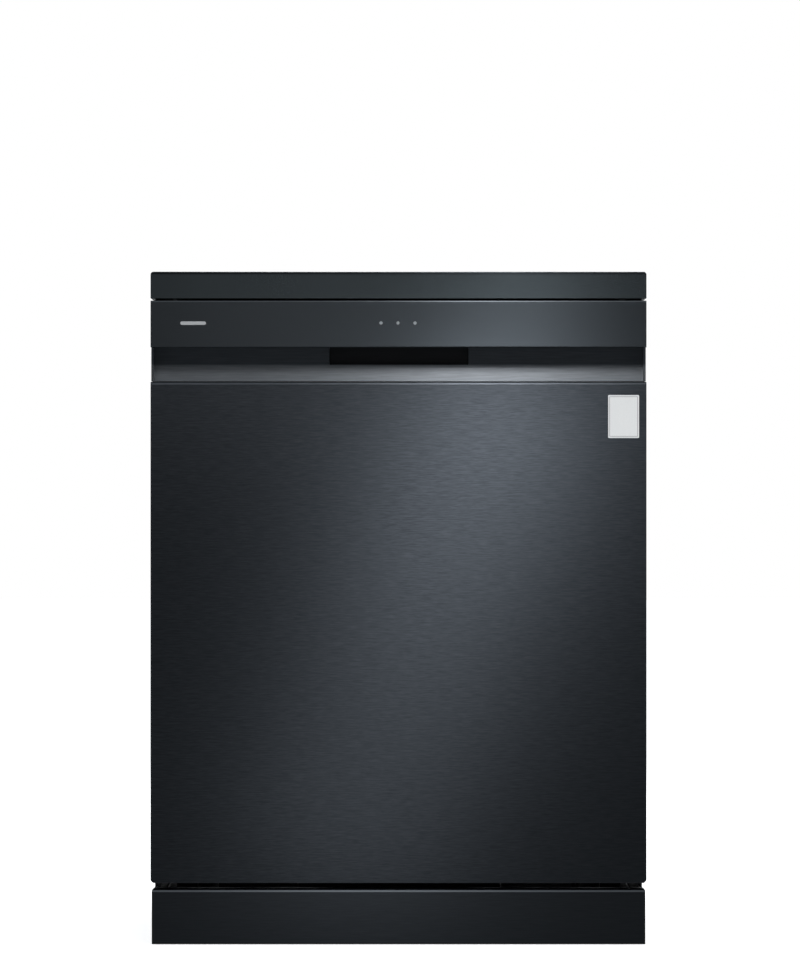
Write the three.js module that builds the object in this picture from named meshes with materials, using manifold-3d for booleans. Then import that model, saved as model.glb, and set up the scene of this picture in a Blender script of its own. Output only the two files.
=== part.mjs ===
// A built-in dishwasher, 60 cm wide, in millimetres: +X to the right, +Y to the back, +Z up, the floor at z = 0.
// The cabinet, the drop-down door, the racks, spray arms and filters are separate pieces, each in its own mesh.
import * as THREE from "three";
import { mergeVertices } from "three/addons/utils/BufferGeometryUtils.js";
import Module from "manifold-3d";

const wasm = await Module();
wasm.setup();

// ---- driving dimensions -------------------------------------------------------------------
const HALF_W = 300; // half the width over worktop and door
const FRONT = -300; // front face of the door and the worktop
const REAR = 300; // rear face
const TOP = 815; // top of the worktop
const WORKTOP_Z = 782.7; // underside of the worktop
const CASE_X = 297; // outside of the side panels
const DOOR_TOP = 780; // top edge of the door
const FASCIA_Z = 723.5; // lower edge of the control fascia
const LIP_Z = 681.7; // upper edge of the door's outer panel
const DOOR_Z = 75.4; // lower edge of the door
const DOOR_BACK = -252; // inner face of the door
const PIVOT_Y = -286; // door hinge axis
const PIVOT_Z = 105;
const SKIN = 1.5; // sheet of the door's outer panel
const TUB_X = 265; // inside of the tub
const TUB_FLOOR = 140;
const TUB_ROOF = 765;
const TUB_FRONT = -246;
const TUB_BACK = 265;
const SUMP_Y = -20; // centre of the sump
const HUB_Y = 10; // axis of the spray arms
const CUP_Y = -72; // axis of the filter cup
const WHEEL_R = 14;
const WHEEL_Z = 155;
const RACK_X = 240; // half width of the lower rack
const PLINTH_TOP = 68.5;

// ---- shape helpers --------------------------------------------------------------------------
function solid(geometry) {
  const g = geometry.index ? geometry.clone() : geometry.clone();
  g.deleteAttribute("normal");
  g.deleteAttribute("uv");
  const m = mergeVertices(g, 1e-3);
  return new wasm.Manifold(
    new wasm.Mesh({
      numProp: 3,
      vertProperties: new Float32Array(m.attributes.position.array),
      triVerts: new Uint32Array(m.index.array),
    }),
  );
}
const join = (...list) => list.flat().reduce((a, b) => a.add(b));
const cut = (a, ...list) => list.flat().reduce((s, b) => s.subtract(b), a);

function box(x0, x1, y0, y1, z0, z1) {
  const g = new THREE.BoxGeometry(x1 - x0, y1 - y0, z1 - z0);
  g.translate((x0 + x1) / 2, (y0 + y1) / 2, (z0 + z1) / 2);
  return solid(g);
}
function extrude(points, depth, curveSegments = 6) {
  const shape = new THREE.Shape(points.map(([a, b]) => new THREE.Vector2(a, b)));
  return new THREE.ExtrudeGeometry(shape, {
    depth,
    bevelEnabled: false,
    curveSegments,
  });
}
// A (y, z) outline carried along X from x0 to x1.
function prismX(points, x0, x1) {
  const g = extrude(points, x1 - x0);
  g.applyMatrix4(
    new THREE.Matrix4().set(0, 0, 1, x0, 1, 0, 0, 0, 0, 1, 0, 0, 0, 0, 0, 1),
  );
  return solid(g);
}
// An (x, z) outline carried along Y from y0 to y1.
function prismY(points, y0, y1) {
  const g = extrude(points, y1 - y0);
  g.applyMatrix4(
    new THREE.Matrix4().set(1, 0, 0, 0, 0, 0, -1, y1, 0, 1, 0, 0, 0, 0, 0, 1),
  );
  return solid(g);
}
// An (x, y) outline carried along Z from z0 to z1.
function prismZ(points, z0, z1) {
  const g = extrude(points, z1 - z0);
  g.translate(0, 0, z0);
  return solid(g);
}
// A round bar of radius r from a to b.
function bar(a, b, r, sides = 12, r2 = r) {
  const p = new THREE.Vector3(...a);
  const q = new THREE.Vector3(...b);
  const d = q.clone().sub(p);
  const g = new THREE.CylinderGeometry(r2, r, d.length(), sides);
  g.applyQuaternion(
    new THREE.Quaternion().setFromUnitVectors(
      new THREE.Vector3(0, 1, 0),
      d.clone().normalize(),
    ),
  );
  g.translate((p.x + q.x) / 2, (p.y + q.y) / 2, (p.z + q.z) / 2);
  return solid(g);
}
// A turned piece about a vertical axis through (x, y); the profile is (radius, z), closed on the axis.
function turned(profile, x, y, sides = 24) {
  const g = new THREE.LatheGeometry(
    profile.map(([r, z]) => new THREE.Vector2(r, z)),
    sides,
  );
  g.rotateX(Math.PI / 2);
  g.translate(x, y, 0);
  let s = solid(g);
  if (s.volume() < 0) {
    const flipped = new THREE.LatheGeometry(
      profile.slice().reverse().map(([r, z]) => new THREE.Vector2(r, z)),
      sides,
    );
    flipped.rotateX(Math.PI / 2);
    flipped.translate(x, y, 0);
    s = solid(flipped);
  }
  return s;
}
// A square wire along one axis from a to b; each direction has its own thickness, so crossing wires never share a face.
function wire(a, b, r = 2.2) {
  const half = [0, 1, 2].map((k) => {
    if (a[k] !== b[k]) return 0;
    const along = a[0] !== b[0] ? 0 : a[1] !== b[1] ? 1 : 2;
    return r - 0.25 * along;
  });
  const lo = a.map((v, k) => Math.min(v, b[k]) - half[k]);
  const hi = a.map((v, k) => Math.max(v, b[k]) + half[k]);
  return box(lo[0], hi[0], lo[1], hi[1], lo[2], hi[2]);
}

// ---- finishes -------------------------------------------------------------------------------
const finish = (color, roughness, metalness) =>
  new THREE.MeshStandardMaterial({ color, roughness, metalness });
const BLACK_STEEL = finish(0x3a3f44, 0.35, 0.9);
const DARK_PAINT = finish(0x24282c, 0.5, 0.2);
const DARK_PLASTIC = finish(0x15181b, 0.5, 0);
const STAINLESS = finish(0xb9bcbf, 0.3, 1);
const ZINC = finish(0x9a9da0, 0.45, 0.9);
const GREY_PLASTIC = finish(0x8b9095, 0.5, 0);
const PALE_PLASTIC = finish(0xc9ccce, 0.5, 0);
const RUBBER = finish(0x1a1a1b, 0.9, 0);
const NYLON_WIRE = finish(0x9da1a6, 0.4, 0.1);
const LENS = finish(0xd8e4ee, 0.1, 0);

const root = new THREE.Group();
root.name = "built_in_dishwasher";
const groups = {};
function put(groupName, name, s, material) {
  if (!groups[groupName]) {
    groups[groupName] = new THREE.Group();
    groups[groupName].name = groupName;
    root.add(groups[groupName]);
  }
  const m = s.getMesh();
  const g = new THREE.BufferGeometry();
  g.setAttribute(
    "position",
    new THREE.BufferAttribute(new Float32Array(m.vertProperties), 3),
  );
  g.setIndex(new THREE.BufferAttribute(new Uint32Array(m.triVerts), 1));
  g.computeVertexNormals();
  const mesh = new THREE.Mesh(g, material);
  mesh.name = name;
  groups[groupName].add(mesh);
}
const SIDES = [
  ["left", -1],
  ["right", 1],
];
// The box with one corner at |x| = a and the other at |x| = b on the given side.
const sideBox = (s, a, b, y0, y1, z0, z1) =>
  box(Math.min(s * a, s * b), Math.max(s * a, s * b), y0, y1, z0, z1);

// ---- cabinet --------------------------------------------------------------------------------
{
  // Worktop: a board with rounded upper corners and a small edge round at the front.
  const r = 3.6;
  const arc = (cx, cz, a0, a1) =>
    [0, 1, 2, 3].map((i) => {
      const a = a0 + ((a1 - a0) * i) / 3;
      return [cx + r * Math.cos(a), cz + r * Math.sin(a)];
    });
  const outline = [
    [-HALF_W, WORKTOP_Z],
    [HALF_W, WORKTOP_Z],
    ...arc(HALF_W - r, TOP - r, 0, Math.PI / 2),
    ...arc(-HALF_W + r, TOP - r, Math.PI / 2, Math.PI),
  ];
  const frontRound = prismX(
    [
      [FRONT - 1, TOP - 2],
      [FRONT, TOP - 2],
      [FRONT + 0.6, TOP - 0.6],
      [FRONT + 2, TOP],
      [FRONT + 2, TOP + 1],
      [FRONT - 1, TOP + 1],
    ],
    -HALF_W - 1,
    HALF_W + 1,
  );
  put("cabinet", "worktop", cut(prismY(outline, FRONT, REAR), frontRound), BLACK_STEEL);

  for (const [side, s] of SIDES)
    put(
      "cabinet",
      "side_panel_" + side,
      sideBox(s, CASE_X - 1.5, CASE_X, TUB_FRONT, REAR - 2.2, 18, WORKTOP_Z - 0.4),
      DARK_PAINT,
    );
  // Rear panel with a lower edge that leaves the connections free.
  put("cabinet", "rear_panel", box(-295, 295, REAR - 1.7, REAR, 92, WORKTOP_Z - 0.4), ZINC);

  // Base tray: the pan that carries the pumps and catches leaks, with four bosses for the feet.
  const tray = cut(
    box(-294, 294, -238, 290, 18, 46),
    box(-292, 292, -236, 288, 21, 47),
  );
  const bosses = [];
  const holes = [];
  for (const x of [-250, 250])
    for (const y of [-205, 250]) {
      bosses.push(bar([x, y, 19], [x, y, 44], 14, 12));
      holes.push(bar([x, y, 10], [x, y, 60], 6.6, 12));
    }
  put("cabinet", "base_tray", cut(join(tray, bosses), holes), DARK_PLASTIC);
  let i = 0;
  for (const [name, y] of [["front", -205], ["rear", 250]])
    for (const [side, s] of SIDES) {
      i += 1;
      const x = s * 250;
      put(
        "feet",
        "foot_" + name + "_" + side,
        join(
          bar([x, y, 0], [x, y, 7], 21, 18, 18),
          bar([x, y, 6.5], [x, y, 15], 11, 6),
          bar([x, y, 14], [x, y, 52], 6, 12),
        ),
        GREY_PLASTIC,
      );
    }

  // Plinth: a folded panel across the foot of the cabinet, its upper corners cut at 45 degrees.
  const plinthOutline = [
    [-299, 0.6],
    [299, 0.6],
    [299, PLINTH_TOP - 3],
    [296, PLINTH_TOP],
    [-296, PLINTH_TOP],
    [-299, PLINTH_TOP - 3],
  ];
  put(
    "cabinet",
    "plinth",
    cut(
      prismY(plinthOutline, -290, -246.6),
      box(-297.6, 297.6, -288.5, -230, -5, PLINTH_TOP - 1.5),
      box(-297.6, 297.6, -276, -230, -5, PLINTH_TOP + 5),
      box(-310, 310, -262, -230, 46, 80),
    ),
    BLACK_STEEL,
  );

  // Hinge brackets on the case, each with the pin that the door turns on.
  for (const [side, s] of SIDES) {
    const outline = [];
    for (let k = 0; k <= 8; k++) {
      const a = Math.PI / 2 + (Math.PI * k) / 8;
      outline.push([PIVOT_Y + 9 * Math.cos(a), PIVOT_Z + 9 * Math.sin(a)]);
    }
    outline.push([-240, PIVOT_Z - 9], [-240, 56], [-196, 56], [-196, 132], [-238, 132], [-238, PIVOT_Z + 9]);
    const plate = prismX(outline, s > 0 ? 290 : -293, s > 0 ? 293 : -290);
    const pin = bar([s * 291, PIVOT_Y, PIVOT_Z], [s * 283.2, PIVOT_Y, PIVOT_Z], 4, 14);
    const head = bar([s * 284, PIVOT_Y, PIVOT_Z], [s * 282.6, PIVOT_Y, PIVOT_Z], 6, 14);
    put("cabinet", "hinge_bracket_" + side, join(plate, pin, head), ZINC);

    // Balance spring: a close-wound coil beside the tub, with a hook at each end.
    const rings = [];
    const coilR = 8;
    const y0 = -150;
    const turns = 9;
    const pitch = 15;
    const profile = [[0, y0 - 4]];
    for (let k = 0; k < turns; k++) {
      profile.push([coilR, y0 + pitch * k], [coilR - 2.4, y0 + pitch * (k + 0.5)]);
    }
    profile.push([coilR, y0 + pitch * turns], [0, y0 + pitch * turns + 4]);
    rings.push(profile);
    const g = new THREE.LatheGeometry(
      profile.map(([r, z]) => new THREE.Vector2(r, z)),
      8,
    );
    g.translate(s * 281, 0, 100);
    let coil = solid(g);
    if (coil.volume() < 0) throw new Error("spring profile is inside out");
    const hooks = [
      bar([s * 281, y0 - 30, 100], [s * 281, y0, 100], 2.4, 8),
      bar([s * 281, y0 + pitch * turns, 100], [s * 281, y0 + pitch * turns + 26, 100], 2.4, 8),
      bar([s * 281, y0 + pitch * turns + 25, 103], [s * 281, y0 + pitch * turns + 25, 84], 2.4, 8),
    ];
    put("cabinet", "balance_spring_" + side, join(coil, hooks), ZINC);
  }
}

// ---- tub, seals and hydraulics -----------------------------------------------------------------
{
  const shell = cut(
    join(
      box(-TUB_X - 3, TUB_X + 3, TUB_FRONT + 1, TUB_BACK + 3, TUB_FLOOR - 4, TUB_ROOF + 4),
      box(-288, 288, TUB_FRONT, TUB_FRONT + 2.5, 122, 778),
    ),
    box(-TUB_X, TUB_X, TUB_FRONT - 5, TUB_BACK, TUB_FLOOR, TUB_ROOF),
    bar([0, SUMP_Y, 120], [0, SUMP_Y, 150], 112, 32),
    // mouth of the salt container in the floor
    bar([-190, -165, 120], [-190, -165, 150], 27, 16),
  );
  put("tub_group", "tub", shell, STAINLESS);

  const gasket = cut(
    box(-284, 284, -251.6, TUB_FRONT - 0.3, 141, 776.5),
    box(-270, 270, -260, -240, 130, 763.5),
    // notch for the latch strike
    box(-23, 23, -260, -240, 765.6, 780),
  );
  put("tub_group", "door_gasket", gasket, RUBBER);
  put(
    "tub_group",
    "lower_door_seal",
    prismX([[-250.4, 129], [-246.4, 127], [-246.4, 138], [-249.5, 138]], -266, 266),
    RUBBER,
  );
  put(
    "tub_group",
    "latch_strike",
    join(
      box(-20, 20, -249, TUB_FRONT - 0.3, 766, 776),
      box(-8, 8, -262, -248.5, 766.5, 770.5),
      box(-8, 8, -262, -260, 762.5, 770.5),
    ),
    ZINC,
  );

  // Sump: the bowl under the tub floor with the riser that carries the lower arm.
  const bowl = turned(
    [
      [0, 58],
      [60, 58],
      [98, 80],
      [102, 128],
      [126, 128],
      [126, 135.6],
      [106, 135.6],
      [99, 132],
      [94, 84],
      [58, 62],
      [0, 62],
    ],
    0,
    SUMP_Y,
    32,
  );
  const riser = bar([0, HUB_Y, 60], [0, HUB_Y, 156], 13, 16);
  const outlet = bar([90, SUMP_Y + 20, 92], [118, SUMP_Y + 20, 92], 16, 14);
  const drainStub = bar([-90, SUMP_Y + 20, 90], [-112, SUMP_Y + 20, 90], 11, 12);
  put("tub_group", "sump", join(bowl, riser, outlet, drainStub), DARK_PLASTIC);

  put(
    "tub_group",
    "filter_plate",
    cut(
      turned([[0, 140.4], [116, 140.4], [118, 142.6], [60, 141.9], [0, 141.9]], 0, SUMP_Y, 32),
      bar([0, CUP_Y, 130], [0, CUP_Y, 150], 40.5, 24),
      bar([0, HUB_Y, 130], [0, HUB_Y, 150], 14, 16),
    ),
    STAINLESS,
  );
  // Filter cup: a round strainer with a bar grip across its mouth; it turns to unlock.
  put(
    "filter_group",
    "filter_cup",
    join(
      turned(
        [[0, 94], [30, 94], [36, 102], [36, 140], [39.5, 140], [39.5, 146], [33.5, 146], [33, 104], [28, 98], [0, 98]],
        0,
        CUP_Y,
        24,
      ),
      box(-34.5, 34.5, CUP_Y - 3.5, CUP_Y + 3.5, 138, 153),
    ),
    GREY_PLASTIC,
  );
  put(
    "filter_group",
    "salt_cap",
    join(
      turned([[0, 141], [31, 141], [31, 150], [28, 153], [0, 153]], -190, -165, 24),
      bar([-190, -165, 118], [-190, -165, 142], 25, 16),
      box(-214, -166, -168.5, -161.5, 152, 159),
    ),
    PALE_PLASTIC,
  );
  put(
    "filter_group",
    "float",
    turned([[0, 141], [19, 141], [20, 144], [18, 160], [10, 167], [0, 168]], 205, -185, 20),
    PALE_PLASTIC,
  );

  // Spray duct: up the back wall of the tub and forward under its roof, with the outlet for the upper rack.
  const duct = join(
    box(-22, 22, 248, 264.4, 141, 764.2),
    box(-16, 16, HUB_Y - 16, 262, 754.5, 764.2),
    bar([0, 252, 440], [0, 236, 440], 12, 14),
    bar([0, HUB_Y, 744], [0, HUB_Y, 758], 8, 12),
  );
  put("tub_group", "spray_duct", duct, GREY_PLASTIC);

  const armOutline = (len, wide, root) => [
    [-len, -wide * 0.55],
    [-len * 0.9, -wide],
    [-root, -root * 0.85],
    [root, -root * 0.85],
    [len * 0.9, -wide],
    [len, -wide * 0.55],
    [len, wide * 0.55],
    [len * 0.9, wide],
    [root, root * 0.85],
    [-root, root * 0.85],
    [-len * 0.9, wide],
    [-len, wide * 0.55],
  ];
  const arm = (len, wide, hub, z0, z1, tilt) => {
    const outline = armOutline(len, wide, hub).map(([x, y]) => [x, y + HUB_Y]);
    return prismZ(outline, z0, z1).add(
      bar([0, HUB_Y, z0 - tilt[0]], [0, HUB_Y, z1 + tilt[1]], hub, 20),
    );
  };
  put(
    "spray_group",
    "lower_spray_arm",
    cut(arm(222, 17, 22, 161, 171, [0, 4]), bar([0, HUB_Y, 150], [0, HUB_Y, 166], 13.6, 16)),
    GREY_PLASTIC,
  );
  put(
    "spray_group",
    "top_spray_arm",
    cut(arm(170, 12, 15, 738, 745, [2, 5]), bar([0, HUB_Y, 742], [0, HUB_Y, 760], 8.5, 12)),
    GREY_PLASTIC,
  );

  // Side rails: one support on each wall of the tub, with the channels for the upper rack and the cutlery tray.
  for (const [side, s] of SIDES) {
    put(
      "tub_group",
      "rack_rail_" + side,
      cut(
        join(
          sideBox(s, 251.5, 264.4, -228, 236, 474, 502),
          sideBox(s, 251.5, 264.4, -228, 236, 696, 712),
          sideBox(s, 261, 264.4, -190, -150, 490, 700),
          sideBox(s, 261, 264.4, 150, 190, 490, 700),
        ),
        sideBox(s, 240, 261, -240, 250, 478, 498),
        sideBox(s, 240, 261, -240, 250, 699.5, 708.5),
      ),
      STAINLESS,
    );
  }

  // Pumps and connections in the base.
  put(
    "base_group",
    "wash_pump",
    join(
      bar([130, 60, 84], [158, 60, 84], 50, 20),
      bar([157, 60, 84], [226, 60, 84], 38, 20),
      bar([225, 60, 84], [232, 60, 84], 26, 16),
      box(140, 220, 25, 95, 30, 60),
      bar([140, 60, 84], [140, -10, 98], 13, 12),
    ),
    ZINC,
  );
  put(
    "base_group",
    "drain_pump",
    join(
      bar([-128, 40, 76], [-152, 40, 76], 30, 18),
      box(-200, -151, 20, 60, 54, 98),
      bar([-140, 40, 60], [-140, 84, 60], 10, 12),
    ),
    ZINC,
  );
  put(
    "base_group",
    "inlet_valve",
    join(
      box(-222, -178, 244, 280, 50, 84),
      bar([-200, 278, 67], [-200, 299, 67], 13, 16),
      bar([-200, 262, 82], [-200, 262, 104], 9, 12),
    ),
    PALE_PLASTIC,
  );
  put(
    "base_group",
    "drain_outlet",
    join(box(206, 234, 270, 282, 50, 84), bar([220, 240, 67], [220, 299, 67], 11, 16)),
    GREY_PLASTIC,
  );
  put(
    "base_group",
    "power_inlet",
    join(box(122, 166, 256, 286, 50, 86), box(128, 160, 284, 298.6, 55, 81).subtract(box(133, 155, 290, 300, 59, 77))),
    DARK_PLASTIC,
  );
}

// ---- door -----------------------------------------------------------------------------------
{
  // Outer panel: brushed sheet folded back at the sides, the top and the foot; lower corners cut at 45 degrees.
  const outline = [
    [-HALF_W, LIP_Z],
    [-HALF_W, DOOR_Z + 3],
    [-HALF_W + 3, DOOR_Z],
    [HALF_W - 3, DOOR_Z],
    [HALF_W, DOOR_Z + 3],
    [HALF_W, LIP_Z],
  ].reverse();
  const lipEdge = [
    [FRONT, LIP_Z - 3.6],
    [FRONT + 1.2, LIP_Z - 1.1],
    [FRONT + 1.9, LIP_Z - 0.4],
    [FRONT + 3.0, LIP_Z],
  ];
  const lipRound = prismX(
    [[FRONT - 1, LIP_Z - 3.6], ...lipEdge, [FRONT + 3.0, LIP_Z + 1], [FRONT - 1, LIP_Z + 1]],
    -HALF_W - 1,
    HALF_W + 1,
  );
  put(
    "door",
    "door_outer_panel",
    cut(
      prismY(outline, FRONT, -254.8),
      prismX(
        [
          [FRONT + SKIN, DOOR_Z + SKIN],
          [-250, DOOR_Z + SKIN],
          [-250, LIP_Z - SKIN],
          [FRONT + SKIN + 2.6, LIP_Z - SKIN],
          [FRONT + SKIN, LIP_Z - SKIN - 2.6],
        ],
        -HALF_W + SKIN,
        HALF_W - SKIN,
      ),
      box(-HALF_W + SKIN, HALF_W - SKIN, -284, -250, LIP_Z - 4, LIP_Z + 2),
      box(-HALF_W + SKIN, HALF_W - SKIN, -272, -250, 70, 90),
      box(-HALF_W + SKIN, -283, FRONT + SKIN, -250, 70, 90),
      box(283, HALF_W - SKIN, FRONT + SKIN, -250, 70, 90),
      box(-HALF_W - 1, HALF_W + 1, -262, -250, 70, 92),
      lipRound,
    ),
    BLACK_STEEL,
  );

  // Handle recess: a full-width channel under the fascia. Its back wall runs down into a concave ramp that
  // leans out towards the lip of the door; a deeper finger pocket sits in the middle, and both ends are closed.
  const RAMP_R = 10;
  const RAMP_SWEEP = (25 * Math.PI) / 180;
  const scoop = [];
  const STEPS = 5;
  for (let k = 0; k <= STEPS; k++) {
    const t = RAMP_SWEEP * (1 - k / STEPS);
    scoop.push([-276 - RAMP_R * (1 - Math.cos(t)), 702 - RAMP_R * Math.sin(t)]);
  }
  const RAMP_FOOT = 682.6;
  const recessOutline = [
    [-297.3, 681.95],
    [-297.3, RAMP_FOOT],
    [scoop[0][0] - (scoop[0][1] - RAMP_FOOT) * Math.tan(RAMP_SWEEP), RAMP_FOOT],
    ...scoop,
    [-276, 744],
    [-271.5, 744],
    [-271.5, 681.95],
  ].reverse();
  const recess = cut(
    join(
      prismX(recessOutline, -296.8, 296.8),
      box(-91, 92, -275, -257.5, 695, 746),
      box(-299.2, -296.4, -298.6, -257, 682.4, 723),
      box(296.4, 299.2, -298.6, -257, 682.4, 723),
    ),
    box(-84, 85, -280, -261, 702.8, 742.5),
  );
  put("door", "handle_recess", recess, DARK_PLASTIC);

  // Control fascia: the cap of the door, with the key holes in its top edge and three small light openings in front.
  const LIGHTS = [-21.2, -0.6, 20];
  const KEYS = [-230, -120, 120, 230];
  const lightHole = (x, half, y0, y1) =>
    prismY(
      [
        [x - half, 752.8],
        [x, 752.8 - half],
        [x + half, 752.8],
        [x, 752.8 + half],
      ],
      y0,
      y1,
    );
  put(
    "door",
    "control_fascia",
    cut(
      box(-HALF_W, HALF_W, FRONT, -254.8, FASCIA_Z, DOOR_TOP),
      box(-297.5, 297.5, -297.5, -250, 725.5, 778),
      box(-88, 89, -297.5, -270, 720, 728),
      box(-297.5, 297.5, -276.6, -250, 720, 728),
      LIGHTS.map((x) => lightHole(x, 2.5, -303, -290)),
      KEYS.map((x) => box(x - 14.5, x + 14.5, -289, -275.5, 770, 790)),
      prismX([[FRONT - 1, DOOR_TOP - 1.9], [FRONT, DOOR_TOP - 1.9], [FRONT + 0.8, DOOR_TOP - 0.2], [FRONT + 1.2, DOOR_TOP], [FRONT + 1.2, DOOR_TOP + 1], [FRONT - 1, DOOR_TOP + 1]], -301, 301),
      prismX([[FRONT - 1, FASCIA_Z - 1], [FRONT + 1, FASCIA_Z - 1], [FRONT + 1, FASCIA_Z], [FRONT, FASCIA_Z + 1], [FRONT - 1, FASCIA_Z + 1]], -301, 301),
    ),
    BLACK_STEEL,
  );
  put(
    "door",
    "indicator_lights",
    join(box(-27, 27, -297, -294.5, 748.8, 756.8), LIGHTS.map((x) => lightHole(x, 2.1, -300, -296.5))),
    LENS,
  );
  const KEY_NAMES = ["power", "program", "option", "start"];
  KEYS.forEach((x, k) => {
    put(
      "keys",
      "key_" + KEY_NAMES[k],
      join(
        box(x - 14, x + 14, -288.5, -276, 773, DOOR_TOP),
        box(x - 3, x + 3, -285, -279.5, 767, 774),
      ),
      DARK_PLASTIC,
    );
  });
  put(
    "door",
    "control_board",
    join(
      box(-278, 278, -293, -291, 750, 764),
      box(-260, -90, -291.5, -277.5, 750, 765),
      box(90, 260, -291.5, -277.5, 750, 765),
    ),
    DARK_PLASTIC,
  );
  put(
    "door",
    "door_latch",
    cut(
      box(-34, 34, -274, -254.5, 750, 777.2),
      box(-22, 22, -268, -250, 757, 774),
    ),
    DARK_PLASTIC,
  );

  // Inner panel: the stainless lining, with a pressed recess and the opening for the dispenser.
  const liner = cut(
    join(
      box(-283, 283, -254, DOOR_BACK, 88, 152),
      box(-297.2, 297.2, -254, DOOR_BACK, 150, 777.4),
      box(-218, 218, -266, DOOR_BACK, 188, 692),
    ),
    box(-216, 216, -264, -250, 190, 690),
    box(-62, 112, -270, -250, 402, 518),
    box(-22, 22, -270, -250, 757, 774),
  );
  put("door", "door_inner_panel", liner, STAINLESS);

  for (const [side, s] of SIDES) {
    // Hinge arm: a plate up the inside of the door with an eye around the hinge pin.
    const eye = [];
    for (let k = 0; k <= 8; k++) {
      const a = Math.PI + (Math.PI * k) / 8;
      eye.push([PIVOT_Y + 10 * Math.cos(a), PIVOT_Z + 10 * Math.sin(a)]);
    }
    const outlineArm = [...eye, [PIVOT_Y + 10, 150], [-258, 168], [-258, 268], [-296, 268], [-296, 130]];
    put(
      "door",
      "hinge_arm_" + side,
      cut(
        prismX(outlineArm, s > 0 ? 285 : -288.5, s > 0 ? 288.5 : -285),
        bar([280 * s, PIVOT_Y, PIVOT_Z], [295 * s, PIVOT_Y, PIVOT_Z], 4.5, 14),
      ),
      ZINC,
    );
  }

  // Detergent dispenser: a body let into the inner panel, its cup, and the rinse-aid filler beside it.
  put(
    "door",
    "dispenser_body",
    cut(
      join(
        box(-60, 110, -290, -262, 404, 516),
        box(-67, 117, -263.6, -261, 397, 523),
      ),
      box(-50, 20, -288, -250, 416, 504),
      bar([74, -275, 450], [74, -250, 450], 12, 16),
    ),
    GREY_PLASTIC,
  );
  put(
    "dispenser",
    "dispenser_lid",
    join(
      box(-55, 25, -260.6, -257.6, 411, 509),
      box(-40, 10, -258, -254.4, 496, 502),
    ),
    GREY_PLASTIC,
  );
  put(
    "dispenser",
    "rinse_aid_cap",
    join(
      bar([74, -260.6, 450], [74, -257, 450], 20, 24),
      bar([74, -270, 450], [74, -260, 450], 11, 16),
      box(71, 77, -257.5, -253.6, 433, 467),
    ),
    DARK_PLASTIC,
  );
}

// ---- racks ----------------------------------------------------------------------------------
// A wire basket: floor bars both ways, an upper hoop, a mid hoop and uprights. w is the half width.
function basket({ w, y0, y1, z0, z1, floorX, floorY, r = 2.4 }) {
  const parts = [];
  for (const z of [z0, z1]) {
    parts.push(
      wire([-w - r, y0, z], [w + r, y0, z], r),
      wire([-w - r, y1, z], [w + r, y1, z], r),
      wire([-w, y0 - 1, z + 0.4], [-w, y1 + 1, z + 0.4], r),
      wire([w, y0 - 1, z + 0.4], [w, y1 + 1, z + 0.4], r),
    );
  }
  for (const x of floorX) {
    parts.push(wire([x, y0 - 1.1, z0 + 2.5], [x, y1 + 1.1, z0 + 2.5], r));
    for (const y of [y0, y1]) parts.push(wire([x, y, z0 - 0.5], [x, y, z1 + 0.7], r));
  }
  for (const y of floorY) {
    parts.push(wire([-w - 1.2, y, z0], [w + 1.2, y, z0], r));
    for (const x of [-w, w]) parts.push(wire([x, y, z0 - 0.6], [x, y, z1 + 0.8], r));
  }
  return parts;
}
const spread = (a, b, n) => Array.from({ length: n }, (_, k) => a + ((b - a) * k) / (n - 1));

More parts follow.
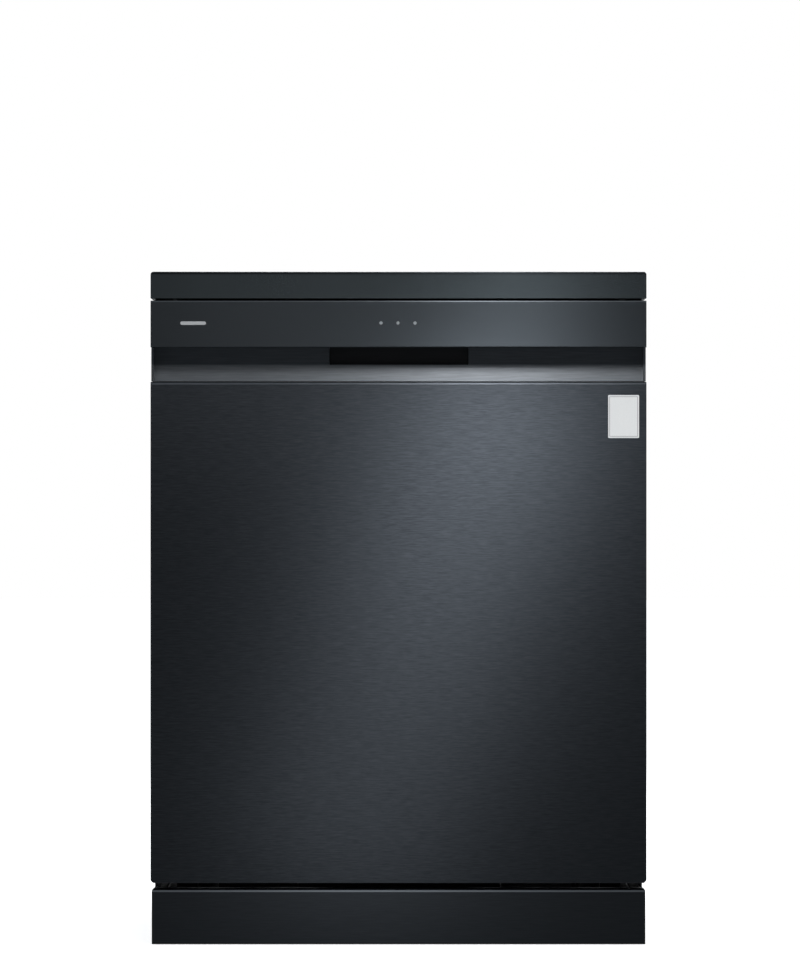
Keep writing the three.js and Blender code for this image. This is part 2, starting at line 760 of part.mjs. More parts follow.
{
  const lower = basket({
    w: RACK_X,
    y0: -228,
    y1: 226,
    z0: 187,
    z1: 322,
    floorX: spread(-170, 170, 4),
    floorY: spread(-150, 150, 4),
  });
  for (const y of [-148, 150])
    for (const s of [-1, 1]) {
      lower.push(
        sideBox(s, 231, 246, y - 9, y + 9, 149, 191),
        bar([s * 244, y, WHEEL_Z], [s * 258.5, y, WHEEL_Z], 3, 10),
      );
    }
  // grip across the front
  lower.push(box(-70, 70, -231.2, -225.3, 298, 325));
  // sockets of the folding tine row
  lower.push(wire([-241, 61, 186.6], [241, 61, 186.6], 2));
  lower.push(box(-208, -202.4, 56, 66, 185.4, 200), box(-13.6, -8, 56, 66, 185.4, 200));
  put("lower_rack_group", "lower_rack", join(lower), NYLON_WIRE);
  for (const [name, y] of [["front", -148], ["rear", 150]])
    for (const [side, s] of SIDES) {
      put(
        "lower_rack_group",
        "rack_wheel_" + name + "_" + side,
        cut(
          bar([s * 250.4, y, WHEEL_Z], [s * 257.4, y, WHEEL_Z], WHEEL_R, 20),
          bar([s * 240, y, WHEEL_Z], [s * 262, y, WHEEL_Z], 3.5, 10),
        ),
        GREY_PLASTIC,
      );
    }
  // Folding tines: a row of upright fingers on one bar.
  const comb = [bar([-201.5, 61, 196], [-14.5, 61, 196], 2.4, 8)];
  for (const x of spread(-192, -24, 8)) comb.push(bar([x, 61, 196], [x, 61, 262], 2, 6));
  put("lower_rack_group", "folding_tines", join(comb), NYLON_WIRE);
}
{
  const upper = basket({
    w: 238,
    y0: -230,
    y1: 226,
    z0: 456,
    z1: 556,
    floorX: spread(-170, 170, 4),
    floorY: spread(-150, 150, 4),
  });
  for (const s of [-1, 1]) {
    // runner that rides in the side rail
    upper.push(
      sideBox(s, 246, 250.5, -226, 228, 481, 495),
      sideBox(s, 234, 248, -160, -140, 481, 495),
      sideBox(s, 234, 248, 140, 160, 481, 495),
    );
  }
  upper.push(box(-70, 70, -233.2, -227.3, 532, 559.5));
  // posts for the cup shelf
  upper.push(box(-240, -229, -156, -150.6, 548, 566), box(-240, -229, 60.6, 66, 548, 566));
  put("upper_rack_group", "upper_rack", join(upper), NYLON_WIRE);
  put(
    "upper_rack_group",
    "rack_feed_pipe",
    cut(
      join(
        bar([0, 233, 440], [0, HUB_Y, 440], 9, 12),
        bar([0, HUB_Y, 428], [0, HUB_Y, 452], 11, 14),
      ),
    ),
    GREY_PLASTIC,
  );
  put(
    "upper_rack_group",
    "middle_spray_arm",
    join(
      prismZ(
        [
          [-212, -9], [-196, -16], [-18, -15], [18, -15], [196, -16], [212, -9],
          [212, 9], [196, 16], [18, 15], [-18, 15], [-196, 16], [-212, 9],
        ].map(([x, y]) => [x, y + HUB_Y]),
        414,
        423,
      ),
      bar([0, HUB_Y, 412], [0, HUB_Y, 427.4], 18, 18),
    ),
    GREY_PLASTIC,
  );
  const shelf = [
    box(-233, -229.5, -150, 60, 556, 562),
    box(-233, -229.5, -150, 60, 630, 634),
    box(-233, -229.5, -150, -144, 556, 634),
    box(-233, -229.5, 54, 60, 556, 634),
  ];
  for (const y of spread(-110, 20, 4)) shelf.push(box(-232.5, -230, y - 2, y + 2, 558, 632));
  put("upper_rack_group", "cup_shelf", join(shelf), GREY_PLASTIC);
}
{
  // Cutlery tray: a shallow frame with a slatted floor, on its own runners.
  const tray = [
    cut(box(-242, 242, -228, 228, 692, 720), box(-238, 238, -224, 224, 690, 725)),
  ];
  for (const x of spread(-200, 200, 6)) tray.push(box(x - 3, x + 3, -226, 226, 692.4, 695.2));
  for (const y of [-110, 110]) tray.push(box(-240, 240, y - 4, y + 4, 692.8, 696));
  for (const s of [-1, 1]) tray.push(sideBox(s, 241, 250.5, -222, 222, 701.5, 706.5));
  tray.push(box(-2.5, 2.5, -227, 227, 692.6, 712));
  put("cutlery_group", "cutlery_tray", join(tray), GREY_PLASTIC);
}

export default root;
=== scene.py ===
import math
import bpy
import bmesh
from mathutils import Vector, Matrix, Euler


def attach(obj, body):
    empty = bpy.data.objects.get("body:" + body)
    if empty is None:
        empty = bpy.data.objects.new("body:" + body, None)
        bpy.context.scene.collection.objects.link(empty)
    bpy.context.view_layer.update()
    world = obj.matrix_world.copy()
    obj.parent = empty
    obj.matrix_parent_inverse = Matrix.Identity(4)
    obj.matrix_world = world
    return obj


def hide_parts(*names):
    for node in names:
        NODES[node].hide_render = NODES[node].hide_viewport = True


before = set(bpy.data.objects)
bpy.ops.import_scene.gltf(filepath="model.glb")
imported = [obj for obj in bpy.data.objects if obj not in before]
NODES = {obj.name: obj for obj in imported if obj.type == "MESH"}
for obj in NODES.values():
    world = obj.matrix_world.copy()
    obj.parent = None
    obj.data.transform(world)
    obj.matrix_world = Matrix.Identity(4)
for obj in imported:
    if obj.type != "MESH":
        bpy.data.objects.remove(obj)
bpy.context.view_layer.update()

bpy.context.scene.view_settings.view_transform = "Standard"
bpy.context.scene.view_settings.look = "None"
SC = bpy.context.scene

# ------------------------------------------------------------------ node helpers
def new_mat(name):
    m = bpy.data.materials.new(name)
    m.use_nodes = True
    nt = m.node_tree
    nt.nodes.clear()
    out = nt.nodes.new("ShaderNodeOutputMaterial")
    bsdf = nt.nodes.new("ShaderNodeBsdfPrincipled")
    nt.links.new(bsdf.outputs[0], out.inputs[0])
    return m, nt, bsdf


def coords(nt, scale, rot=(0, 0, 0), loc=(0, 0, 0)):
    tc = nt.nodes.new("ShaderNodeTexCoord")
    mp = nt.nodes.new("ShaderNodeMapping")
    mp.inputs["Scale"].default_value = scale
    mp.inputs["Rotation"].default_value = rot
    mp.inputs["Location"].default_value = loc
    nt.links.new(tc.outputs["Object"], mp.inputs["Vector"])
    return mp.outputs[0]


def noise(nt, vec, scale=1.0, detail=3.0, rough=0.5, dist=0.0):
    n = nt.nodes.new("ShaderNodeTexNoise")
    n.inputs["Scale"].default_value = scale
    n.inputs["Detail"].default_value = detail
    n.inputs["Roughness"].default_value = rough
    n.inputs["Distortion"].default_value = dist
    nt.links.new(vec, n.inputs["Vector"])
    return n.outputs[0]


def ramp(nt, fac, stops):
    r = nt.nodes.new("ShaderNodeValToRGB")
    el = r.color_ramp.elements
    while len(el) > 1:
        el.remove(el[-1])
    el[0].position, el[0].color = stops[0][0], (*stops[0][1], 1)
    for p, c in stops[1:]:
        e = el.new(p)
        e.color = (*c, 1)
    nt.links.new(fac, r.inputs[0])
    return r.outputs[0]


def rng(nt, fac, a, b, lo, hi):
    r = nt.nodes.new("ShaderNodeMapRange")
    r.inputs["From Min"].default_value = a
    r.inputs["From Max"].default_value = b
    r.inputs["To Min"].default_value = lo
    r.inputs["To Max"].default_value = hi
    nt.links.new(fac, r.inputs["Value"])
    return r.outputs[0]


def math_node(nt, op, a, b=None):
    n = nt.nodes.new("ShaderNodeMath")
    n.operation = op
    for i, v in enumerate((a, b)):
        if v is None:
            continue
        if isinstance(v, (int, float)):
            n.inputs[i].default_value = v
        else:
            nt.links.new(v, n.inputs[i])
    return n.outputs[0]


def bump(nt, bsdf, height, strength=0.1, dist=0.001):
    b = nt.nodes.new("ShaderNodeBump")
    b.inputs["Strength"].default_value = strength
    b.inputs["Distance"].default_value = dist
    nt.links.new(height, b.inputs["Height"])
    nt.links.new(b.outputs[0], bsdf.inputs["Normal"])


def mix(nt, a, b, fac):
    n = nt.nodes.new("ShaderNodeMix")
    n.data_type = "FLOAT"
    for i, v in ((0, fac), (2, a), (3, b)):
        if isinstance(v, (int, float)):
            n.inputs[i].default_value = v
        else:
            nt.links.new(v, n.inputs[i])
    return n.outputs[0]


# ------------------------------------------------------------------ materials
def brushed(name, dark, light, rough, metallic, along="X", fine=620.0, streak=26.0, rough_var=0.05, aniso=0.0, bump_s=0.04, stops=(0.40, 0.70)):
    m, nt, b = new_mat(name)
    def sc(f, s):
        return {"X": (s, f, f), "Y": (f, s, f), "Z": (f, f, s)}[along]
    n1 = noise(nt, coords(nt, sc(fine, streak)), 1.0, 2.0, 0.6)
    n2 = noise(nt, coords(nt, sc(fine * 2.3, streak * 2.6), loc=(3.1, 7.7, 1.3)), 1.0, 1.0, 0.5)
    n3 = noise(nt, coords(nt, (2.2, 2.2, 2.2)), 1.0, 2.0, 0.5)
    a = math_node(nt, "MULTIPLY", n1, 0.62)
    c = math_node(nt, "MULTIPLY", n2, 0.38)
    s = math_node(nt, "ADD", a, c)
    d = math_node(nt, "MULTIPLY", n3, 0.10)
    s2 = math_node(nt, "ADD", s, d)
    col = ramp(nt, s2, [(stops[0], dark), (stops[1], light)])
    nt.links.new(col, b.inputs["Base Color"])
    nt.links.new(rng(nt, s, 0.3, 0.7, rough + rough_var, rough - rough_var), b.inputs["Roughness"])
    b.inputs["Metallic"].default_value = metallic
    if aniso:
        b.inputs["Anisotropic"].default_value = aniso
    bump(nt, b, s, bump_s, 0.0004)
    return m


def plastic(name, c0, c1, rough=0.45, grain=900.0, bump_s=0.05, spec=0.5, coat=0.0, metallic=0.0, wear=0.0):
    m, nt, b = new_mat(name)
    n1 = noise(nt, coords(nt, (grain, grain, grain)), 1.0, 2.0, 0.6)
    n2 = noise(nt, coords(nt, (7.0, 7.0, 7.0)), 1.0, 3.0, 0.5)
    s = math_node(nt, "ADD", math_node(nt, "MULTIPLY", n1, 0.45), math_node(nt, "MULTIPLY", n2, 0.55))
    nt.links.new(ramp(nt, s, [(0.3, c0), (0.7, c1)]), b.inputs["Base Color"])
    nt.links.new(rng(nt, s, 0.3, 0.7, rough + 0.06, rough - 0.06), b.inputs["Roughness"])
    b.inputs["Specular IOR Level"].default_value = spec
    b.inputs["Coat Weight"].default_value = coat
    b.inputs["Metallic"].default_value = metallic
    bump(nt, b, n1, bump_s, 0.0003)
    return m


M = {}
M["black_steel"] = brushed("black_steel_brushed", (0.0305, 0.0340, 0.0390), (0.0435, 0.0480, 0.0550), 0.285, 1.0, "X", 760.0, 46.0, 0.008, 0.0, 0.003, (0.42, 0.68))
M["fascia_steel"] = brushed("black_steel_fine", (0.034, 0.0385, 0.0430), (0.038, 0.0430, 0.0480), 0.25, 1.0, "X", 1100.0, 24.0, 0.012, 0.0, 0.006)
M["plinth_steel"] = brushed("black_steel_plinth", (0.033, 0.0365, 0.0415), (0.041, 0.0455, 0.0520), 0.30, 1.0, "X", 900.0, 30.0, 0.02, 0.0, 0.008)
M["worktop"] = plastic("worktop_dark_satin", (0.031, 0.0375, 0.0410), (0.036, 0.0425, 0.0465), 0.25, 900.0, 0.012, 0.5, 0.0, 0.95)



def worktop_painted_dark_reflection_band(m):
    """A painted reflection: a darker band along the eased upper edge of the worktop stands for the dim part of what
    the rounded edge mirrors.
    """
    nt = m.node_tree
    b = next(n for n in nt.nodes if n.type == "BSDF_PRINCIPLED")
    link = b.inputs["Base Color"].links[0]
    src = link.from_socket
    tc = nt.nodes.new("ShaderNodeTexCoord")
    sep = nt.nodes.new("ShaderNodeSeparateXYZ")
    nt.links.new(tc.outputs["Object"], sep.inputs[0])
    # height band of the eased edge that gets the painted dark reflection
    lower = rng(nt, sep.outputs["Z"], 0.8112, 0.8124, 0.0, 1.0)
    upper = rng(nt, sep.outputs["Z"], 0.81485, 0.81497, 1.0, 0.0)
    fac = math_node(nt, "MULTIPLY", lower, upper)
    mx = nt.nodes.new("ShaderNodeMix")
    mx.data_type = "RGBA"
    nt.links.new(fac, mx.inputs[0])
    nt.links.new(src, mx.inputs[6])
    # colour of the painted dark reflection on the edge
    mx.inputs[7].default_value = (0.009, 0.011, 0.013, 1)
    nt.links.new(mx.outputs[2], b.inputs["Base Color"])


worktop_painted_dark_reflection_band(M["worktop"])


PLINTH_TOP = 0.0685


def plinth_painted_edge_shade_and_highlight(m):
    """Painted shade darkens the folded edges of the plinth, its top fold as the shadow of the gap under the door, and
    a painted highlight runs as a fine bright stroke just below the top fold.
    """
    nt = m.node_tree
    b = next(n for n in nt.nodes if n.type == "BSDF_PRINCIPLED")
    src = b.inputs["Base Color"].links[0].from_socket
    tc = nt.nodes.new("ShaderNodeTexCoord")
    sep = nt.nodes.new("ShaderNodeSeparateXYZ")
    nt.links.new(tc.outputs["Object"], sep.inputs[0])
    z, x = sep.outputs["Z"], math_node(nt, "ABSOLUTE", sep.outputs["X"])
    front = rng(nt, sep.outputs["Y"], -0.2888, -0.2884, 1.0, 0.0)
    top = PLINTH_TOP
    # painted shade on the top, bottom and side folds
    dark = math_node(nt, "MAXIMUM", rng(nt, z, top - 0.0027, top - 0.0023, 0.0, 1.0),
                     math_node(nt, "MAXIMUM", rng(nt, z, 0.0018, 0.0023, 1.0, 0.0), rng(nt, x, 0.2976, 0.2980, 0.0, 1.0)))
    # painted highlight: a thin bright band just below the top fold
    painted_highlight_line = math_node(nt, "MULTIPLY", rng(nt, z, top - 0.0050, top - 0.0046, 0.0, 1.0), rng(nt, z, top - 0.0027, top - 0.0023, 1.0, 0.0))
    dark, painted_highlight_line = math_node(nt, "MULTIPLY", dark, front), math_node(nt, "MULTIPLY", painted_highlight_line, front)
    # colours of the painted shade and the painted highlight
    for fac, colour in ((dark, (0.0015, 0.0017, 0.0022, 1)), (painted_highlight_line, (0.195, 0.213, 0.235, 1))):
        mx = nt.nodes.new("ShaderNodeMix")
        mx.data_type = "RGBA"
        nt.links.new(fac, mx.inputs[0])
        nt.links.new(src, mx.inputs[6])
        mx.inputs[7].default_value = colour
        src = mx.outputs[2]
    nt.links.new(src, b.inputs["Base Color"])


plinth_painted_edge_shade_and_highlight(M["plinth_steel"])
M["dark_paint"] = plastic("satin_dark_paint", (0.030, 0.033, 0.036), (0.038, 0.041, 0.045), 0.42, 500.0, 0.05)
M["recess"] = plastic("recess_black_plastic", (0.012, 0.014, 0.017), (0.018, 0.021, 0.024), 0.40, 800.0, 0.06)
M["dark_plastic"] = plastic("black_plastic", (0.010, 0.011, 0.013), (0.018, 0.019, 0.022), 0.45, 800.0, 0.08)
M["stainless"] = brushed("stainless_brushed", (0.55, 0.555, 0.56), (0.63, 0.635, 0.64), 0.33, 1.0, "X", 700.0, 30.0, 0.02, 0.0, 0.008)
M["stainless_z"] = brushed("stainless_brushed_upright", (0.55, 0.555, 0.56), (0.63, 0.635, 0.64), 0.30, 1.0, "Y", 700.0, 30.0, 0.02, 0.0, 0.008)
M["zinc"] = plastic("zinc_plate", (0.42, 0.43, 0.44), (0.60, 0.61, 0.62), 0.38, 260.0, 0.05, 0.5, 0.0, 0.9)
# the hinge brackets' zinc painted very dark as painted shade for the gap they sit in
M["zinc_painted_gap_shade"] = plastic("zinc_plate_painted_gap_shade", (0.010, 0.011, 0.012), (0.018, 0.019, 0.021), 0.45, 260.0, 0.05, 0.5, 0.0, 0.0)
M["galv"] = plastic("galvanised_sheet", (0.36, 0.375, 0.39), (0.55, 0.56, 0.575), 0.42, 60.0, 0.03, 0.5, 0.0, 0.85)
M["grey"] = plastic("grey_plastic", (0.20, 0.215, 0.23), (0.25, 0.265, 0.28), 0.42, 700.0, 0.06)
M["pale"] = plastic("pale_plastic", (0.56, 0.58, 0.60), (0.66, 0.68, 0.70), 0.40, 700.0, 0.05)
M["wire"] = plastic("coated_wire", (0.30, 0.315, 0.335), (0.38, 0.395, 0.415), 0.35, 400.0, 0.03)
M["rubber"] = plastic("soft_rubber", (0.010, 0.010, 0.011), (0.020, 0.020, 0.021), 0.75, 600.0, 0.08, 0.3)
M["pump"] = plastic("glass_filled_plastic", (0.10, 0.105, 0.115), (0.17, 0.175, 0.185), 0.55, 500.0, 0.1)
M["lens"] = plastic("light_guide", (0.020, 0.024, 0.028), (0.035, 0.040, 0.046), 0.15, 900.0, 0.02, 0.5, 0.3)
M["mark"] = plastic("mark_satin_silver", (0.30, 0.31, 0.32), (0.40, 0.41, 0.42), 0.38, 900.0, 0.02, 0.5, 0.0, 0.5)
M["label"] = plastic("paper_label", (0.50, 0.51, 0.51), (0.56, 0.56, 0.56), 0.5, 600.0, 0.04)
M["label_line"] = plastic("label_print", (0.10, 0.10, 0.11), (0.16, 0.16, 0.17), 0.5, 600.0, 0.02)


def recess_mat():
    """The ramp is the door's dark metal painted lighter, a painted highlight for the light it catches; the back wall
    above it is dark plastic darkened further with painted shade under the fascia's overhang, and the pocket is painted
    darker still as deeper shade.
    """
    m, nt, b = new_mat("recess_dark_steel")
    tc = nt.nodes.new("ShaderNodeTexCoord")
    sep = nt.nodes.new("ShaderNodeSeparateXYZ")
    nt.links.new(tc.outputs["Object"], sep.inputs[0])
    wall = rng(nt, sep.outputs["Z"], 0.7000, 0.7035, 0.0, 1.0)
    inner = rng(nt, sep.outputs["Y"], -0.2757, -0.2747, 0.0, 1.0)
    n1 = noise(nt, coords(nt, (30.0, 620.0, 620.0)), 1.0, 2.0, 0.6)
    # ramp colour painted lighter than the door's metal: painted light
    ramp_steel_painted_lighter = ramp(nt, n1, [(0.36, (0.058, 0.0625, 0.068)), (0.66, (0.072, 0.0775, 0.084))])
    # back wall colour: dark plastic darkened with painted shade
    dark = ramp(nt, n1, [(0.36, (0.009, 0.0110, 0.0135)), (0.66, (0.013, 0.0155, 0.0185))])
    # pocket colour: painted deep shade
    pocket_painted_deep_shade = ramp(nt, n1, [(0.36, (0.0015, 0.0018, 0.0026)), (0.66, (0.0025, 0.0030, 0.0040))])

    def blend(fac, first, second):
        mx = nt.nodes.new("ShaderNodeMix")
        mx.data_type = "RGBA"
        nt.links.new(fac, mx.inputs[0])
        nt.links.new(first, mx.inputs[6])
        nt.links.new(second, mx.inputs[7])
        return mx.outputs[2]

    nt.links.new(blend(wall, ramp_steel_painted_lighter, blend(inner, dark, pocket_painted_deep_shade)), b.inputs["Base Color"])
    nt.links.new(rng(nt, wall, 0, 1, 1.0, 0.0), b.inputs["Metallic"])
    nt.links.new(rng(nt, wall, 0, 1, 0.33, 0.50), b.inputs["Roughness"])
    b.inputs["Specular IOR Level"].default_value = 0.05
    bump(nt, b, n1, 0.012, 0.0004)
    return m


def perforated():
    m, nt, b = new_mat("filter_mesh_steel")
    tc = nt.nodes.new("ShaderNodeTexCoord")
    sep = nt.nodes.new("ShaderNodeSeparateXYZ")
    nt.links.new(tc.outputs["Object"], sep.inputs[0])
    P = 0.0032
    def wave(axis, shift=0.0):
        v = math_node(nt, "DIVIDE", sep.outputs[axis], P)
        if shift:
            v = math_node(nt, "ADD", v, shift)
        f = math_node(nt, "FRACT", v)
        return math_node(nt, "SUBTRACT", f, 0.5)
    x, y = wave("X"), wave("Y")
    d2 = math_node(nt, "ADD", math_node(nt, "MULTIPLY", x, x), math_node(nt, "MULTIPLY", y, y))
    hole = rng(nt, math_node(nt, "SQRT", d2), 0.24, 0.31, 0.0, 1.0)
    col = ramp(nt, hole, [(0.0, (0.02, 0.02, 0.02)), (1.0, (0.58, 0.585, 0.59))])
    nt.links.new(col, b.inputs["Base Color"])
    nt.links.new(hole, b.inputs["Metallic"])
    nt.links.new(rng(nt, hole, 0, 1, 0.7, 0.3), b.inputs["Roughness"])
    bump(nt, b, hole, 0.35, 0.0006)
    return m


M["perforated"] = perforated()
M["recess"] = recess_mat()

NODE_MAT = {
    "worktop": "worktop", "side_panel_left": "dark_paint", "side_panel_right": "dark_paint", "rear_panel": "galv",
    # hinge brackets take the zinc painted very dark as painted shade
    "base_tray": "dark_plastic", "plinth": "plinth_steel", "hinge_bracket_left": "zinc_painted_gap_shade", "hinge_bracket_right": "zinc_painted_gap_shade",
    "balance_spring_left": "zinc", "balance_spring_right": "zinc", "tub": "stainless", "door_gasket": "rubber",
    "lower_door_seal": "rubber", "latch_strike": "zinc", "sump": "dark_plastic", "filter_plate": "perforated",
    "filter_cup": "grey", "salt_cap": "pale", "float": "pale", "spray_duct": "grey", "lower_spray_arm": "grey",
    "top_spray_arm": "grey", "rack_rail_left": "stainless_z", "rack_rail_right": "stainless_z", "wash_pump": "pump",
    "drain_pump": "pump", "inlet_valve": "pale", "drain_outlet": "grey", "power_inlet": "dark_plastic",
    "door_outer_panel": "black_steel", "handle_recess": "recess", "control_fascia": "fascia_steel",
    "indicator_lights": "lens", "key_power": "dark_plastic", "key_program": "dark_plastic",
    "key_option": "dark_plastic", "key_start": "dark_plastic", "control_board": "dark_plastic",
    "door_latch": "dark_plastic", "door_inner_panel": "stainless", "hinge_arm_left": "zinc", "hinge_arm_right": "zinc",
    "dispenser_body": "grey", "dispenser_lid": "grey", "rinse_aid_cap": "dark_plastic", "lower_rack": "wire",
    "rack_wheel_front_left": "grey", "rack_wheel_front_right": "grey", "rack_wheel_rear_left": "grey",
    "rack_wheel_rear_right": "grey", "folding_tines": "wire", "upper_rack": "wire", "rack_feed_pipe": "grey",
    "middle_spray_arm": "grey", "cup_shelf": "grey", "cutlery_tray": "grey",
    "foot_front_left": "grey", "foot_front_right": "grey", "foot_rear_left": "grey", "foot_rear_right": "grey",
}
BEVEL = {
    "worktop": 0.0010, "door_outer_panel": 0.0003, "control_fascia": 0.0003, "handle_recess": 0.0006, "plinth": 0.0006,
    "tub": 0.0012, "filter_plate": 0.0, "spray_duct": 0.003, "lower_spray_arm": 0.003, "middle_spray_arm": 0.0028,
    "top_spray_arm": 0.0022, "dispenser_body": 0.0012, "dispenser_lid": 0.0011, "rinse_aid_cap": 0.0010,
    "salt_cap": 0.0012, "float": 0.0014, "wash_pump": 0.002, "drain_pump": 0.002, "indicator_lights": 0.0002,
    "base_tray": 0.0008, "door_inner_panel": 0.0007, "side_panel_left": 0.0004, "side_panel_right": 0.0004,
    "rear_panel": 0.0004, "control_board": 0.0004,
}


def bevel(o, width, segments=2, angle=28):
    if width <= 0:
        return
    b = o.modifiers.new("edge", "BEVEL")
    b.width = width
    b.segments = segments
    b.limit_method = "ANGLE"
    b.angle_limit = math.radians(angle)
    b.use_clamp_overlap = True
    b.harden_normals = True


for name, o in NODES.items():
    m = M[NODE_MAT[name]]
    if not o.material_slots:
        o.data.materials.append(m)
    for s in o.material_slots:
        s.material = m


# ------------------------------------------------------------------ mesh helpers
def link(o):
    SC.collection.objects.link(o)
    return o


def from_bm(name, bm, mat, smooth=False):
    me = bpy.data.meshes.new(name)
    bmesh.ops.recalc_face_normals(bm, faces=bm.faces)
    bm.to_mesh(me)
    bm.free()
    if smooth:
        for p in me.polygons:
            p.use_smooth = True
    o = bpy.data.objects.new(name, me)
    me.materials.append(mat)
    return link(o)


def boxes(name, items, mat, width=0.0006, segments=2):
    bm = bmesh.new()
    for x0, x1, y0, y1, z0, z1 in items:
        vs = [bm.verts.new(p) for p in ((x0, y0, z0), (x1, y0, z0), (x1, y1, z0), (x0, y1, z0), (x0, y0, z1), (x1, y0, z1), (x1, y1, z1), (x0, y1, z1))]
        for f in ((0, 3, 2, 1), (4, 5, 6, 7), (0, 1, 5, 4), (1, 2, 6, 5), (2, 3, 7, 6), (3, 0, 4, 7)):
            bm.faces.new([vs[i] for i in f])
    o = from_bm(name, bm, mat)
    bevel(o, width, segments)
    return o


def disc(bm, centre, axis, r, depth, sides=24, r2=None):
    geo = bmesh.ops.create_cone(bm, cap_ends=True, segments=sides, radius1=r, radius2=r if r2 is None else r2, depth=depth)
    rot = Vector((0, 0, 1)).rotation_difference(Vector(axis)).to_matrix().to_4x4()
    bmesh.ops.transform(bm, matrix=Matrix.Translation(Vector(centre)) @ rot, verts=geo["verts"])


def fillet(points, r, n=5, closed=False):
    pts = [Vector(p) for p in points]
    out = []
    count = len(pts)
    for i, p in enumerate(pts):
        if not closed and i in (0, count - 1):
            out.append(p)
            continue
        a, b = pts[i - 1], pts[(i + 1) % count]
        u, v = (a - p).normalized(), (b - p).normalized()
        ang = u.angle(v)
        if ang > 3.1:
            out.append(p)
            continue
        d = min(r / math.tan(ang / 2), (a - p).length * 0.49, (b - p).length * 0.49)
        rr = d * math.tan(ang / 2)
        c = p + (u + v).normalized() * (rr / math.sin(ang / 2))
        s, e = p + u * d - c, p + v * d - c
        w = s.angle(e)
        for k in range(n + 1):
            t = k / n
            out.append(c + (s * math.sin((1 - t) * w) + e * math.sin(t * w)) / math.sin(w))
    return out


def wires(name, lines, r, mat, res=2):
    cu = bpy.data.curves.new(name, "CURVE")
    cu.dimensions = "3D"
    cu.bevel_depth = r
    cu.bevel_resolution = res
    cu.use_fill_caps = True
    for pts, closed in lines:
        sp = cu.splines.new("POLY")
        sp.points.add(len(pts) - 1)
        for q, p in zip(sp.points, pts):
            q.co = (p[0], p[1], p[2], 1)
        sp.use_cyclic_u = closed
        sp.use_smooth = True
    cu.materials.append(mat)
    o = bpy.data.objects.new(name, cu)
    return link(o)


def ride(o, body):
    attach(o, body)
    return o


def spread(a, b, n):
    return [a + (b - a) * k / (n - 1) for k in range(n)]


REPLACED = set()


def stands_for(o, *nodes):
    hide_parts(*nodes)
    REPLACED.update(nodes)


# ------------------------------------------------------------------ racks
def ring(w, y0, y1, z, r=0.026):
    return (fillet([(-w, y0, z), (w, y0, z), (w, y1, z), (-w, y1, z)], r, 6, True), True)


def basket_wires(w, y0, y1, z0, z1, xs, ys, inset, dip):
    lines = []
    for x in xs:
        lines.append((fillet([(x, y0 + 0.001, z1), (x, y0 + inset, z0), (x, y1 - inset, z0), (x, y1 - 0.001, z1)], 0.012), False))
    for y in ys:
        lines.append((fillet([(-w + 0.001, y, z1), (-w + inset, y, z0 + dip), (w - inset, y, z0 + dip), (w - 0.001, y, z1)], 0.012), False))
    return lines


LW, LY0, LY1, LZ0, LZ1 = 0.2400, -0.2280, 0.2260, 0.1865, 0.3220
rims = [ring(LW, LY0, LY1, LZ1), ring(LW - 0.0015, LY0 + 0.0015, LY1 - 0.0015, LZ1 - 0.034), ring(LW - 0.006, LY0 + 0.006, LY1 - 0.006, LZ0 + 0.004)]
lower_rim = wires("lower_rack_rims", rims, 0.0024, M["wire"])
lower_cage = wires(
    "lower_rack_cage",
    basket_wires(LW, LY0, LY1, LZ0, LZ1, spread(-0.195, 0.195, 14), spread(-0.190, 0.190, 12), 0.006, 0.0034),
    0.0016, M["wire"])
tine_lines = []
for y in (-0.185, -0.135, -0.085, -0.035, 0.015):
    for x in spread(-0.192, 0.192, 17):
        if abs(x) < 0.006:
            continue
        tine_lines.append((fillet([(x, y, LZ0 + 0.004), (x, y, LZ0 + 0.052), (x, y + 0.004, LZ0 + 0.060)], 0.01, 3), False))
for y in (0.061, 0.111, 0.161):
    for x in spread(0.024, 0.192, 8):
        tine_lines.append((fillet([(x, y, LZ0 + 0.004), (x, y, LZ0 + 0.052), (x, y + 0.004, LZ0 + 0.060)], 0.01, 3), False))
for y in (0.165, 0.195):
    for x in spread(-0.192, -0.024, 8):
        tine_lines.append((fillet([(x, y, LZ0 + 0.004), (x, y, LZ0 + 0.045), (x, y + 0.004, LZ0 + 0.052)], 0.01, 3), False))
for y in (-0.185, -0.135, -0.085, -0.035, 0.015):
    tine_lines.append(([Vector((-0.236, y, LZ0 + 0.0036)), Vector((0.236, y, LZ0 + 0.0036))], False))
for y in (0.111, 0.161):
    tine_lines.append(([Vector((0.010, y, LZ0 + 0.0036)), Vector((0.236, y, LZ0 + 0.0036))], False))
for y in (0.165, 0.195):
    tine_lines.append(([Vector((-0.236, y, LZ0 + 0.0036)), Vector((-0.010, y, LZ0 + 0.0036))], False))
tine_lines.append(([Vector((-0.236, 0.061, LZ0 + 0.0002)), Vector((0.236, 0.061, LZ0 + 0.0002))], False))
lower_tines = wires("lower_rack_tines", tine_lines, 0.0017, M["wire"])
lower_fit = []
for y in (-0.148, 0.150):
    for s in (-1, 1):
        a, b = sorted((s * 0.2440, s * 0.2475))
        lower_fit.append((a, b, y - 0.012, y + 0.012, 0.146, 0.200))
        a, b = sorted((s * 0.2330, s * 0.2445))
        lower_fit.append((a, b, y - 0.010, y + 0.010, 0.182, 0.198))
lower_fit += [(-0.208, -0.2026, 0.056, 0.066, 0.1855, 0.2005), (-0.0134, -0.008, 0.056, 0.066, 0.1855, 0.2005)]
lower_brackets = boxes("lower_rack_brackets", lower_fit, M["grey"], 0.0014, 3)
bm = bmesh.new()
for y in (-0.148, 0.150):
    for s in (-1, 1):
        disc(bm, (s * 0.2524, y, 0.155), (s, 0, 0), 0.0029, 0.0122, 16)
        disc(bm, (s * 0.25855, y, 0.155), (s, 0, 0), 0.0052, 0.0011, 20)
lower_pins = from_bm("lower_rack_axles", bm, M["zinc"])
bevel(lower_pins, 0.0003)


